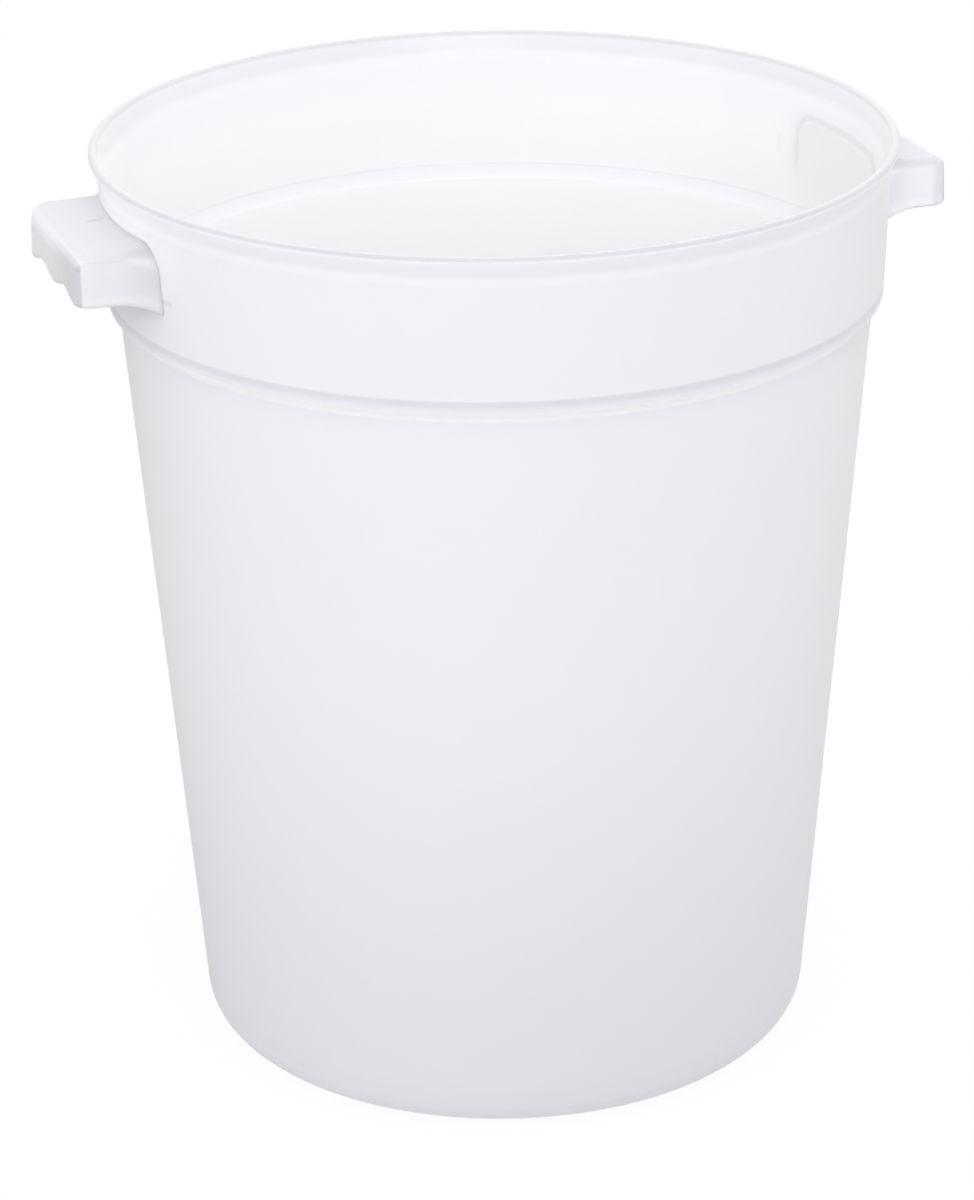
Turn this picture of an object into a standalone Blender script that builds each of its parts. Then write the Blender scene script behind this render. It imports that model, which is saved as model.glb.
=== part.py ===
"""Round food storage container with two hooded handles.

Run it with blender --background --python part.py, or from Blender's text editor.
Lengths are in metres and +Z is up. The container stands on z = 0 with its axis on the
Z axis, and its handles lie along X.

The tub is a turned moulding: a flared lip, an upper band, a shoulder that steps in to a
tapering lower wall, a rounded foot and a raised base inside a foot ring. Behind each
handle the band is pushed inwards as a finger pocket, with an even wall all round. Each
handle is a hollow hood that is open from below, with finger arches in its lower edge.
"""
import math

import bmesh
import bpy
from mathutils import Matrix, Vector

# Tub: its height, depths below the rim, and small levels above the surface it stands on
height = 0.375
lip_depth = 0.0022
flare_depth = 0.0088
band_depth = 0.061
shoulder_drop = 0.003
ledge_lift = 0.004
ledge_drop = 0.005
base_rise = 0.0022
base_thickness = 0.0034

# Tub: the rim's radius, how much narrower each part below it gets, and other widths
rim_radius = 0.1583
flare_width = 0.0031
band_taper = 0.002
shoulder_width = 0.004
wall_taper = 0.0246
wall = 0.003
ring_width = 0.0065
ring_slope = 0.0025
gate_radius = 0.007
gate_depth = 0.0008

# Tub: roundings
rim_round = 0.0013
flare_round = 0.009
shoulder_round = 0.0016
foot_round = 0.0147
ring_round = 0.0008

# Finger pocket behind each handle: an upright floor that runs out where the band tapers in
pocket_stand = 0.0003
pocket_half_width = 0.043
pocket_drop = 0.0158
pocket_round = 0.012
pocket_wall = 0.0024
pocket_roof_drop = 0.0026
bulge_inset = 0.0025
bulge_lift = 0.0005

# Handle: the hood, which starts below the rim and stands out from the band's foot
seat_gap = 0.0003
hood_reach = 0.0263
hood_inset = 0.004
hood_drop = 0.0183
hood_depth = 0.0204
hood_wall = 0.0034
hood_roof = 0.0036
skirt_lean = 0.0008
side_drop = 0.0038

# Handle: how it spreads and rises where it meets the tub, and its roundings
spread_width = 0.0034
spread_length = 0.009
spread_round = 0.03
cove_rise = 0.0019
cove_length = 0.009
cove_round = 0.03
brow_round = 0.007
corner_round = 0.0078
hollow_round = 0.0028
edge_round = 0.0023

# Handle: finger arches in the lower edge, and a slot in the top
arch_margin = 0.0055
arch_rise = 0.0032
slot_out = 0.0068
slot_side = 0.006
slot_length = 0.006
slot_width = 0.0022
slot_depth = 0.001

# Working values: facets, joins and how far a cutter runs past what it cuts
turn_steps = 88
arc_steps = 4
arch_steps = 24
edge_segments = 2
overrun = 0.004
merge_distance = 0.00001
edge_angle = math.radians(50)
smooth_angle = math.radians(35)

# Translucent white plastic, as linear colour
tub_colour = (0.84, 0.84, 0.87, 1.0)
handle_colour = (0.80, 0.80, 0.83, 1.0)
plastic_roughness = 0.38

# Places on the tub that follow from the sizes above
shoulder_height = height - band_depth
base_top = base_rise + base_thickness
band_top_radius = rim_radius - flare_width
band_radius = band_top_radius - band_taper
wall_radius = band_radius - shoulder_width
foot_radius = wall_radius - wall_taper
pocket_floor = band_radius + pocket_stand
pocket_top = height - pocket_drop
pocket_foot = shoulder_height - shoulder_drop - overrun

# Places on the handle that follow from the sizes above
hood_half_width = pocket_half_width - hood_inset
hood_top = height - hood_drop
hood_bottom = hood_top - hood_depth
hollow_top = hood_top - hood_roof
root = wall_radius - overrun
reach = band_radius + hood_reach
arch_pitch = hood_half_width - arch_margin
slot_place = band_radius + slot_out


def width_at(level, upper, lower):
    """The width at a level on the straight line between two (width, level) points."""
    share = (level - lower[1]) / (upper[1] - lower[1])
    return lower[0] + (upper[0] - lower[0]) * share


def rounded(corners, closed=False):
    """An outline whose corners, given as (x, y, radius), are turned into arcs."""
    outline = []
    last = len(corners) - 1
    for index, (x, y, radius) in enumerate(corners):
        if radius == 0 or (not closed and index in (0, last)):
            outline.append((x, y))
            continue
        before = corners[index - 1]
        after = corners[(index + 1) % len(corners)]
        heading = math.atan2(y - before[1], x - before[0])
        leaving = math.atan2(after[1] - y, after[0] - x)
        turn = (leaving - heading + math.pi) % (2 * math.pi) - math.pi
        setback = radius * abs(math.tan(turn / 2))
        arm = math.copysign(radius, turn)
        centre_x = x - setback * math.cos(heading) - arm * math.sin(heading)
        centre_y = y - setback * math.sin(heading) + arm * math.cos(heading)
        for step in range(arc_steps + 1):
            angle = heading + turn * step / arc_steps
            outline.append((centre_x + arm * math.sin(angle), centre_y - arm * math.cos(angle)))
    return outline


def clear_scene():
    for item in list(bpy.data.objects):
        bpy.data.objects.remove(item, do_unlink=True)


def new_collection(name):
    group = bpy.data.collections.new(name)
    bpy.context.scene.collection.children.link(group)
    return group


def add_object(name, data, group):
    item = bpy.data.objects.new(name, data)
    group.objects.link(item)
    return item


def add_cutter(name, data, group):
    cutter = add_object(name, data, group)
    cutter.display_type = "WIRE"
    cutter.hide_render = True
    return cutter


def evaluated_mesh(item):
    """A welded mesh of what an object's modifiers or curve settings give."""
    graph = bpy.context.evaluated_depsgraph_get()
    mesh = bpy.data.meshes.new_from_object(item.evaluated_get(graph))
    shape = bmesh.new()
    shape.from_mesh(mesh)
    bmesh.ops.remove_doubles(shape, verts=shape.verts, dist=merge_distance)
    bmesh.ops.recalc_face_normals(shape, faces=shape.faces)
    shape.to_mesh(mesh)
    shape.free()
    return mesh


def profile_mesh(name, profile):
    """The edges of a profile in X and Z, for a Screw modifier."""
    mesh = bpy.data.meshes.new(name)
    points = [(x, 0.0, z) for x, z in profile]
    mesh.from_pydata(points, [(index, index + 1) for index in range(len(points) - 1)], [])
    return mesh


def turn_profile(item):
    """Turns an object's profile once round Z."""
    screw = item.modifiers.new("Turn", "SCREW")
    screw.axis = "Z"
    screw.steps = turn_steps
    screw.render_steps = turn_steps
    screw.use_merge_vertices = True
    screw.merge_threshold = merge_distance


def combine(item, tool, operation="DIFFERENCE"):
    step = item.modifiers.new(tool.name, "BOOLEAN")
    step.operation = operation
    step.solver = "EXACT"
    step.object = tool


def plate_mesh(name, outline, thickness, group):
    """A closed plate of an outline in X and Y, half its thickness on each side of z = 0."""
    curve = bpy.data.curves.new(name, "CURVE")
    curve.dimensions = "2D"
    curve.fill_mode = "BOTH"
    curve.extrude = thickness / 2
    spline = curve.splines.new("POLY")
    spline.points.add(len(outline) - 1)
    for point, (x, y) in zip(spline.points, outline):
        point.co = (x, y, 0.0, 1.0)
    spline.use_cyclic_u = True
    item = add_object(name, curve, group)
    mesh = evaluated_mesh(item)
    bpy.data.objects.remove(item, do_unlink=True)
    return mesh


def plate_cutter(name, outline, thickness, group):
    return add_cutter(name, plate_mesh(name, outline, thickness, group), group)


def loft_mesh(name, rings):
    """A closed mesh through flat rings that have equal numbers of points."""
    shape = bmesh.new()
    loops = [[shape.verts.new(point) for point in ring] for ring in rings]
    for first, second in zip(loops, loops[1:]):
        for index in range(len(first)):
            shape.faces.new((first[index - 1], first[index], second[index], second[index - 1]))
    shape.faces.new(loops[0])
    shape.faces.new(loops[-1])
    bmesh.ops.recalc_face_normals(shape, faces=shape.faces)
    mesh = bpy.data.meshes.new(name)
    shape.to_mesh(mesh)
    shape.free()
    return mesh


def tub_outside(grow):
    """The tub's outer profile, from the axis over the lip and down to the base."""
    ring_inside = foot_radius - foot_round - ring_width
    return rounded([
        (0.0, height + grow, 0.0),
        (rim_radius + grow, height + grow, rim_round),
        (rim_radius + grow, height - lip_depth, rim_round),
        (band_top_radius + grow, height - flare_depth, flare_round),
        (band_radius + grow, shoulder_height - grow, shoulder_round),
        (wall_radius + grow, shoulder_height - shoulder_drop - grow, shoulder_round),
        (foot_radius + grow, 0.0, foot_round),
        (ring_inside, 0.0, ring_round),
        (ring_inside - ring_slope, base_rise, ring_round),
        (gate_radius, base_rise, 0.0),
        (gate_radius - gate_depth, base_rise + gate_depth, 0.0),
        (0.0, base_rise + gate_depth, 0.0),
    ])


def tub_inside():
    """The profile of the space in the tub, from above the mouth down to the base."""
    mouth_radius = rim_radius - wall
    wall_inside = wall_radius - wall
    ledge_top = shoulder_height + ledge_lift
    ledge_foot = ledge_top - ledge_drop
    foot_inside = width_at(base_top, (wall_inside, ledge_foot), (foot_radius - wall, 0.0))
    return rounded([
        (0.0, height + overrun, 0.0),
        (mouth_radius + rim_round, height + overrun, 0.0),
        (mouth_radius + rim_round, height, 0.0),
        (mouth_radius, height - rim_round, rim_round),
        (band_top_radius - wall, height - flare_depth, flare_round),
        (band_radius - wall, ledge_top, shoulder_round),
        (wall_inside, ledge_foot, shoulder_round),
        (foot_inside, base_top, foot_round - wall),
        (0.0, base_top, 0.0),
    ])


def band_at(level):
    return width_at(level, (band_top_radius, height - flare_depth), (band_radius, shoulder_height))


def pocket_back(level):
    """How far from the YZ plane the sides of a pocket reach the band, at a level."""
    return math.sqrt(band_at(level) ** 2 - pocket_half_width ** 2)


def pocket_core(floor, top):
    """The profile behind a pocket's floor and over its roof, which slopes up and outwards."""
    roof_far = rim_radius + 2 * overrun
    roof_slope = pocket_roof_drop / (band_at(pocket_top) - pocket_floor)
    roof_foot = top - pocket_roof_drop
    roof_end = roof_foot + (roof_far - floor) * roof_slope
    return [
        (0.0, roof_end + overrun),
        (roof_far, roof_end + overrun),
        (roof_far, roof_end),
        (floor, roof_foot),
        (floor, pocket_foot - overrun),
        (0.0, pocket_foot - overrun),
    ]


def pocket_tools(name, floor, setback, half_width, top, group):
    """What a pocket takes away in front of its floor, at +X and at -X.

    The inner face is flat and leans with the band, so that it makes the pocket's sides.
    """
    core = add_cutter(name + " core", profile_mesh(name + " core", pocket_core(floor, top)), group)
    turn_profile(core)
    corner = pocket_round - (pocket_half_width - half_width)
    outline = rounded([
        (half_width, pocket_foot, 0.0),
        (half_width, top, corner),
        (-half_width, top, corner),
        (-half_width, pocket_foot, 0.0),
    ], closed=True)
    lean = (pocket_back(pocket_top) - pocket_back(shoulder_height)) / (pocket_top - shoulder_height)
    face = pocket_back(pocket_top) - setback
    near = [(face + (z - pocket_top) * lean, y, z) for y, z in outline]
    far = [(rim_radius + overrun, y, z) for y, z in outline]
    mesh = loft_mesh(name, [near, far])
    tools = []
    for side, angle in (("right", 0.0), ("left", math.pi)):
        tool = add_cutter(name + " " + side, mesh, group)
        tool.rotation_euler.z = angle
        combine(tool, core)
        tools.append(tool)
    return tools


def shape_outside(item, grow, group):
    """Gives an object the tub's outside with its pockets, all moved out by a distance."""
    turn_profile(item)
    tools = pocket_tools(item.name + " pocket", pocket_floor + grow, -grow, pocket_half_width - grow,
                         pocket_top - grow, group)
    for tool in tools:
        combine(item, tool)


def build_tub(group, cutters):
    tub = add_object("tub", profile_mesh("tub", tub_outside(0.0)), group)
    shape_outside(tub, 0.0, cutters)
    cavity = add_cutter("cavity", profile_mesh("cavity", tub_inside()), cutters)
    turn_profile(cavity)
    bulges = pocket_tools("pocket bulge", pocket_floor - wall, pocket_wall,
                          pocket_half_width - bulge_inset, pocket_top + bulge_lift, cutters)
    for bulge in bulges:
        combine(cavity, bulge)
    combine(tub, cavity)
    return tub


def hood_plan():
    """The hood from above: spread where it meets the tub, rounded at its outer corners."""
    spread_end = math.sqrt(band_radius ** 2 - hood_half_width ** 2) + spread_length
    spread_slope = spread_width / spread_length
    side = [
        (root, hood_half_width + (spread_end - root) * spread_slope, 0.0),
        (spread_end, hood_half_width, spread_round),
        (reach, hood_half_width, corner_round),
    ]
    return rounded(side + [(x, -y, radius) for x, y, radius in reversed(side)], closed=True)


def hood_section():
    """The hood cut through its middle: the cove, the roof, the brow and the skirt."""
    cove_end = band_radius + cove_length
    return rounded([
        (root, hood_bottom - side_drop, 0.0),
        (root, hood_top + (cove_end - root) * cove_rise / cove_length, 0.0),
        (cove_end, hood_top, cove_round),
        (reach - skirt_lean, hood_top, brow_round),
        (reach, hood_bottom, edge_round),
        (cove_end, hood_bottom, 0.0),
    ], closed=True)


def hood_front():
    """The hood from the front: the spread and the cove end in the pocket's rounded outline."""
    half = pocket_half_width - seat_gap
    below = hood_bottom - side_drop - overrun
    top = pocket_top - seat_gap
    return rounded([
        (half, below, 0.0),
        (half, top, pocket_round - seat_gap),
        (-half, top, pocket_round - seat_gap),
        (-half, below, 0.0),
    ], closed=True)


def hollow_plan():
    half = hood_half_width - hood_wall
    return rounded([
        (root - overrun, half, 0.0),
        (reach - hood_wall, half, corner_round - hood_wall),
        (reach - hood_wall, -half, corner_round - hood_wall),
        (root - overrun, -half, 0.0),
    ], closed=True)


def hollow_section():
    return rounded([
        (root - overrun, hood_bottom - side_drop - overrun, 0.0),
        (root - overrun, hollow_top, 0.0),
        (reach - hood_wall - skirt_lean, hollow_top, hollow_round),
        (reach - hood_wall, hood_bottom - side_drop - overrun, 0.0),
    ], closed=True)


def arch_outline():
    """Two finger arches side by side, as seen from the front, with what lies below them."""
    below = hood_bottom - overrun
    arches = []
    for step in range(2 * arch_steps + 1):
        share = step / arch_steps - 1
        rise = arch_rise * math.sin(math.pi * share) ** 2
        arches.append((share * arch_pitch, hood_bottom + rise))
    return arches + [(arch_pitch, below), (-arch_pitch, below)]


def slot_outline():
    """The slot in the hood's top, with round ends."""
    ends = slot_length / 2
    sides = slot_width / 2
    return rounded([
        (slot_place - ends, slot_side - sides, sides),
        (slot_place + ends, slot_side - sides, sides),
        (slot_place + ends, slot_side + sides, sides),
        (slot_place - ends, slot_side + sides, sides),
    ], closed=True)


def build_handle(group, cutters):
    """The hood at +X, seated in its pocket with an even gap."""
    upright = math.pi / 2
    across = 2 * (pocket_half_width + overrun)
    handle = add_object("right_handle", plate_mesh("hood", hood_section(), across, group), group)
    handle.rotation_euler.x = upright
    combine(handle, plate_cutter("hood plan", hood_plan(), 2 * (height + overrun), cutters), "INTERSECT")
    front = plate_cutter("hood front", hood_front(), reach - root + 2 * overrun, cutters)
    front.rotation_euler = (upright, 0.0, upright)
    front.location.x = (root + reach) / 2
    combine(handle, front, "INTERSECT")
    edges = handle.modifiers.new("Edges", "BEVEL")
    edges.width = edge_round
    edges.segments = edge_segments
    edges.limit_method = "ANGLE"
    edges.angle_limit = edge_angle

    hollow = plate_cutter("hollow", hollow_section(), across, cutters)
    hollow.rotation_euler.x = upright
    combine(hollow, plate_cutter("hollow plan", hollow_plan(), 2 * height, cutters), "INTERSECT")
    combine(handle, hollow)

    arches = plate_cutter("arches", arch_outline(), 2 * (hood_wall + overrun), cutters)
    arches.rotation_euler = (upright, 0.0, upright)
    arches.location.x = reach
    combine(handle, arches)

    slot = plate_cutter("slot", slot_outline(), 2 * slot_depth, cutters)
    slot.location.z = hood_top
    combine(handle, slot)

    seat = add_cutter("seat", profile_mesh("seat", tub_outside(seat_gap)), cutters)
    shape_outside(seat, seat_gap, cutters)
    combine(handle, seat)
    return handle


def copy_mirrored(item, name, group):
    """The mirror image of an object on the other side of the YZ plane."""
    mesh = evaluated_mesh(item)
    mesh.transform(item.matrix_world)
    mesh.transform(Matrix.Scale(-1.0, 4, Vector((1.0, 0.0, 0.0))))
    mesh.flip_normals()
    return add_object(name, mesh, group)


def plastic(name, colour):
    material = bpy.data.materials.new(name)
    material.use_nodes = True
    shader = material.node_tree.nodes["Principled BSDF"]
    shader.inputs["Base Color"].default_value = colour
    shader.inputs["Roughness"].default_value = plastic_roughness
    material.diffuse_color = colour
    return material


def finish(item, material):
    """Keeps an object's final shape as its mesh, with smooth shading and its material."""
    mesh = evaluated_mesh(item)
    item.modifiers.clear()
    item.data = mesh
    mesh.materials.clear()
    mesh.materials.append(material)
    mesh.shade_smooth()
    mesh.set_sharp_from_angle(angle=smooth_angle)


def main():
    clear_scene()
    group = new_collection("food_storage_container")
    cutters = new_collection("cutters")
    tub = build_tub(group, cutters)
    right_handle = build_handle(group, cutters)
    bpy.context.view_layer.update()
    left_handle = copy_mirrored(right_handle, "left_handle", group)
    finish(tub, plastic("tub plastic", tub_colour))
    finish(right_handle, plastic("right handle plastic", handle_colour))
    finish(left_handle, plastic("left handle plastic", handle_colour))


main()
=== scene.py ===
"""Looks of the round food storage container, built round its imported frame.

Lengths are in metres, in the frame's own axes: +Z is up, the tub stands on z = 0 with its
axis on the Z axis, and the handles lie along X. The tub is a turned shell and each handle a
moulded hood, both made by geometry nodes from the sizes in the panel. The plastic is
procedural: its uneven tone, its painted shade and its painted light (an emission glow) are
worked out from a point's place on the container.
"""
import math

import bmesh
import bpy
from bpy.props import FloatProperty, FloatVectorProperty, PointerProperty
from mathutils import Euler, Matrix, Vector


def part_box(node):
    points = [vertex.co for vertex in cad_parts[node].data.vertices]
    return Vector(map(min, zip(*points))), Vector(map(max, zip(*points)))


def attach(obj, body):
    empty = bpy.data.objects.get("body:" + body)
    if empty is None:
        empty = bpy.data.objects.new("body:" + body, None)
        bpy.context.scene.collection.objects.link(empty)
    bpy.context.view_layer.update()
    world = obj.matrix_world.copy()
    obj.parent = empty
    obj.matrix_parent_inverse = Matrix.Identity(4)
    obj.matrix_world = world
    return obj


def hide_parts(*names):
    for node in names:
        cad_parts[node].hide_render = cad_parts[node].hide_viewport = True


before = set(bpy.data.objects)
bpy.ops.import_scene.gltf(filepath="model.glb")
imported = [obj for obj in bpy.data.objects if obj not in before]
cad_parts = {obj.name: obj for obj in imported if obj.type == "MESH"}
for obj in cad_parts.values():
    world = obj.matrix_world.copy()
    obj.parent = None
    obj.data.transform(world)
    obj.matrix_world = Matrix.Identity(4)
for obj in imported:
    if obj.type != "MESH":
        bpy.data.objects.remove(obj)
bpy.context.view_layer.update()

bl_info = {
    "name": "Food Storage Container",
    "version": (1, 0, 0),
    "blender": (4, 5, 0),
    "location": "3D View > Sidebar > Container",
    "description": "Makes the shell, the hooded handles and the stage of a food storage container",
    "category": "Add Mesh",
}

_, tub_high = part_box("tub")
_, hood_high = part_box("right_handle")

# How the tub's profile is cut into points.
ARC_STEPS = 7  # pieces in each rounding
BASE_REACH = 0.12  # a run inside this radius crosses the base,
BASE_STEP = 0.01  # and its pieces are no longer than this
LONG_RISE = 0.012  # a run that rises more than this is a wall
SHORT_STEP = 0.009  # the longest piece of any other run
CORNER_STEP = 0.0006  # a wall's pieces at the pockets' upper corners,
BAND_STEP = 0.0025  # elsewhere in the band,
WALL_STEP = 0.01  # and below it
WALL_END = 0.995  # the share of a wall after which it isn't cut
CORNER_BELOW = 1.25  # the corners' pieces start this many corner roundings below a pocket's top,
CORNER_ABOVE = 0.001  # and end this far above it

# How the tub is turned: its columns are closer together at the pockets' sides.
FINE_TURN = math.radians(0.25)
WIDE_TURN = math.radians(1.7)
LAST_TURN = 0.01  # the smallest angle left before a quarter is full
INNER_CORNERS = 1.3  # the fine columns start this many corner roundings inside a pocket's side,
OUTER_MARGIN = 0.0012  # and end this far outside it,
OUTER_INSET = 0.006  # on a circle this far inside the rim
MERGE_DISTANCE = 0.00002  # closes the seam and the poles
DOUBLES_DISTANCE = 0.00001

# A hood's shape.
SEAT_SINK = 0.0004  # how far it runs into the band
SPREAD_LIMIT = 1.15  # its spread runs on a little, out of sight in the tub's wall,
DROP_LIMIT = 1.2  # and so does the drop of its end walls
FILLET_LIMIT = 1.3  # how far the fillet runs on in there
FILLET_SHARE = 0.55  # how far the fillet rises, as a share of how far it reaches
SKIRT_WALLS = 2.2  # the arches fade out this many walls behind the front,
ARCH_EDGE = 0.001  # and this far inside the two outer ends

# The room round a hood on the grid that it is moulded on.
ROOM_BEHIND = 0.003
ROOM_FRONT = 0.001
ROOM_BESIDE = 0.0065
ROOM_BELOW = 0.006
ROOM_ABOVE = 0.005
BACKGROUND = -0.01  # the density outside the grid

# The plastic's unevenness, and its grain.
CLOUD = {"Scale": 9.0, "Detail": 2.0, "Roughness": 0.4}
CLOUD_TONE = 0.012
CLOUD_ROUGHNESS = 0.08
GRAIN = {"Scale": 900.0, "Detail": 2.0}
GRAIN_BUMP = {"Strength": 0.06, "Distance": 0.0002}

# The tub's painted shade and painted light: where each band starts and is full, or fades in and out
# again.
# By height over the shoulder:
SHOULDER_LINE = (0.0006, 0.0038, 0.0046, 0.0056)
SHOULDER_STEP = (-0.0052, -0.0026, -0.0002, 0.0008)
LEDGE_LINE = (-0.0025, 0.003, 0.0042, 0.005)
LEDGE_FACET = (-0.0015, -0.0005, 0.0042, 0.005)
BAND = (0.0, 0.01)
BELOW_LEDGE = (0.004, -0.004)
POCKET_FADE = (0.008, 0.016)
POCKET_FADE_INSIDE = (0.014, 0.026)
ROOT_FADE = (0.012, 0.021)
# By height over the rim, so less than 0:
LIP_EDGE = (-0.0019, -0.0005)
LIP_TOP = (-0.002, -0.0006)
FLARE = (-0.0125, -0.0085, -0.0032, -0.001)
MOUTH_NEAR = (-0.011, -0.006)
MOUTH_FAR = (-0.05, -0.012)
MOUTH_SHARE = 0.55  # the near part's share
# By height over the foot:
LOW_WALL = (0.22, 0.02)
FOOT_EDGE = (0.017, 0.0035)
# By the distance outside a pocket's outline:
POCKET_LINE = (-0.0012, -0.0002, 0.0002, 0.0012)
POCKET_SIDES = (-0.0043, -0.003, -0.0018, -0.0005)
POCKET_ROOT = (-0.003, -0.0005, 0.001, 0.004)

# A hood's painted shade and painted light, in the same way.
# By how far it is out from the start of the spread:
NEAR_TUB = (0.0, -0.014)
SHADE_LIMIT = 1.1  # how far the lit lower edge follows the drop of the end walls
# Out from its front:
LIT_END = (-0.0062, -0.009)
TURNED_END = (-0.0058, -0.002)
# Out from the line where its front rounding turns to the front:
FRONT = (-0.0004, 0.0002)
FRONT_TURN = 0.33  # that line, in front roundings behind the front
# Over its top:
FLAT_TOP = (-0.004, -0.0005)
# Over the line under its brow:
UPPER = (-0.0003, 0.0003)
BROW_LINE = (-0.0012, -0.0003, 0.0001, 0.0006)
BROW_DROP = 0.72  # that line, in front roundings below the top
# Over its lower edge:
HEM = (0.006, 0.0)
HEM_EDGE = (0.0016, 0.0004)
# Outside its half width:
END_WALL = (-0.006, -0.001)
# Along its front, towards the -Y corner:
CORNER_START = -0.01
CORNER_INSET = 0.009  # how far before the end wall the shade is full
SKIRT_EVEN = 0.1  # how much of the skirt's shade is even all along it
BROW_EVEN = 0.5  # the brow's even shade, besides
# Outside the band:
ROOT = (0.0045, 0.0005)


def length(name, description, default, low=0.0):
    """A length in metres for the panel."""
    return FloatProperty(name=name, description=description, default=default, min=low,
                         unit="LENGTH", subtype="DISTANCE", precision=5)


def colour(name, description, default):
    """A colour for the panel."""
    return FloatVectorProperty(name=name, description=description, default=default,
                               subtype="COLOR", size=3, min=0.0, max=1.0)


def share(name, description, default):
    """A number from 0 to 1 for the panel."""
    return FloatProperty(name=name, description=description, default=default,
                         subtype="FACTOR", min=0.0, max=1.0)


class TubSizes(bpy.types.PropertyGroup):
    """Sizes of the tub."""
    height: length("Height", "From the foot to the top of the rim", tub_high.z)
    rim_radius: length("Rim radius", "The outside of the flared lip", tub_high.x)
    lip_depth: length("Lip depth", "The upright part of the lip", 0.0022)
    flare_depth: length("Flare depth", "From the rim down to where the flare ends", 0.0088)
    flare_width: length("Flare width", "How far the rim stands out from the band", 0.0031)
    band_depth: length("Band depth", "From the rim down to the shoulder", 0.061)
    band_taper: length("Band taper", "How much narrower the band is at its foot", 0.002)
    shoulder_width: length("Shoulder width", "How far the wall steps in below the band", 0.004)
    shoulder_drop: length("Shoulder drop", "The height of that step outside", 0.003)
    shoulder_round: length("Shoulder rounding", "The rounding of that step's upper edge", 0.0012)
    shoulder_fillet: length("Shoulder fillet", "The rounding of that step's lower edge", 0.004)
    ledge_lift: length("Ledge lift", "How far the step inside starts above the shoulder", 0.004)
    ledge_drop: length("Ledge drop", "The height of the step inside", 0.005)
    lip_round: length("Lip rounding", "The rounding of the lip's edges", 0.0013)
    flare_round: length("Flare rounding", "The rounding between the flare and the band", 0.009)
    ledge_round: length("Ledge rounding", "The rounding of the step inside", 0.0016)
    wall_taper: length("Wall taper", "How much narrower the wall is at the foot", 0.0246)
    wall: length("Wall", "The thickness of the moulding", 0.003)
    foot_round: length("Foot rounding", "The outside rounding of the foot", 0.0147)
    base_rise: length("Base rise", "How high the base lies inside the foot ring", 0.0022)
    base_thickness: length("Base thickness", "The thickness of the base", 0.0034)
    ring_width: length("Foot ring width", "The flat that the tub stands on", 0.0065)
    ring_slope: length("Foot ring slope", "The width of the slope inside that flat", 0.0025)
    ring_round: length("Foot ring rounding", "The rounding of that slope's edges", 0.0008)
    gate_radius: length("Gate radius", "The recess in the middle of the base's underside", 0.007)
    gate_depth: length("Gate depth", "The depth of that recess", 0.0008)


class PocketSizes(bpy.types.PropertyGroup):
    """Sizes of the finger pocket behind each handle."""
    stand: length("Floor stand", "How far its floor stands out from the band's foot", 0.0003)
    half_width: length("Half width outside", "From its middle to its outline outside", 0.0428)
    inner_half_width: length("Half width inside", "From its middle to its outline inside", 0.0402)
    drop: length("Drop", "From the rim down to its outline outside", 0.0158)
    inner_drop: length("Drop inside", "From the rim down to its outline inside", 0.0153)
    corner: length("Corner rounding", "The rounding of its upper corners", 0.012)
    side_width: length("Side width", "The width of its sloping sides", 0.0046)
    mark_place: length("Mark place", "From its middle to the mark beside it outside", 0.0466)
    mark_drop: length("Mark drop", "From the rim down to that mark", 0.0368)
    inner_mark_place: length("Inner mark place", "From its middle to the mark inside", 0.0492)
    inner_mark_drop: length("Inner mark drop", "From the rim down to that mark", 0.0328)
    mark_length: length("Mark length", "The longer side of a mark", 0.0065)
    mark_width: length("Mark width", "The shorter side of a mark", 0.001)


class HoodSizes(bpy.types.PropertyGroup):
    """Sizes of the hooded handles."""
    reach: length("Reach", "From the tub's axis to the front of the hood", hood_high.x)
    half_width: length("Half width", "From the middle of the hood to its end wall", 0.039)
    top: length("Top", "The height of its top above the foot", 0.3567)
    bottom: length("Bottom", "The height of its lower edge above the foot", 0.3363)
    wall: length("Skirt thickness", "The thickness of its skirt", 0.0034)
    roof: length("Roof thickness", "The thickness of its top", 0.0036)
    lean: length("Lean", "How far its front leans in at the top", 0.0008)
    front_round: length("Front rounding", "The rounding of its brow and its front corners", 0.0074)
    edge_round: length("Edge rounding", "The rounding between its top and its end walls", 0.0023)
    spread: length("Spread", "How much wider it gets where it meets the tub", 0.003)
    fillet: length("Fillet", "The soft fillet between it and the tub", 0.0025)
    cove: length("Cove", "How much higher it gets where it meets the tub", 0.0022)
    spread_start: length("Spread start", "From the tub's axis to where it starts", 0.1655)
    spread_end: length("Spread end", "From the tub's axis to where it is full", 0.1487)
    side_drop: length("Side drop", "How far its end walls run down at the tub", 0.0038)
    arch_rise: length("Arch rise", "The height of the finger arches", 0.0032)
    arch_pitch: length("Arch pitch", "The distance between the finger arches", 0.0335)
    slot_side: length("Slot side", "How far the slot in its top lies off the middle", 0.006)
    slot_place: length("Slot place", "From the tub's axis to the slot", 0.16)
    slot_straight: length("Slot straight", "Half of the straight part of its length", 0.0024)
    slot_round: length("Slot rounding", "Half of its width", 0.001)
    slot_depth: length("Slot depth", "The depth of the slot", 0.0011)
    slot_blend: length("Slot blend", "How soft the slot's edge is", 0.0006)
    hollow_blend: length("Hollow blend", "How soft its inner edges are", 0.0016)
    hem_blend: length("Hem blend", "How soft its lower edge is", 0.0022)
    voxel: length("Voxel", "The step of the grid that it is moulded on", 0.00055, low=0.0002)


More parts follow.
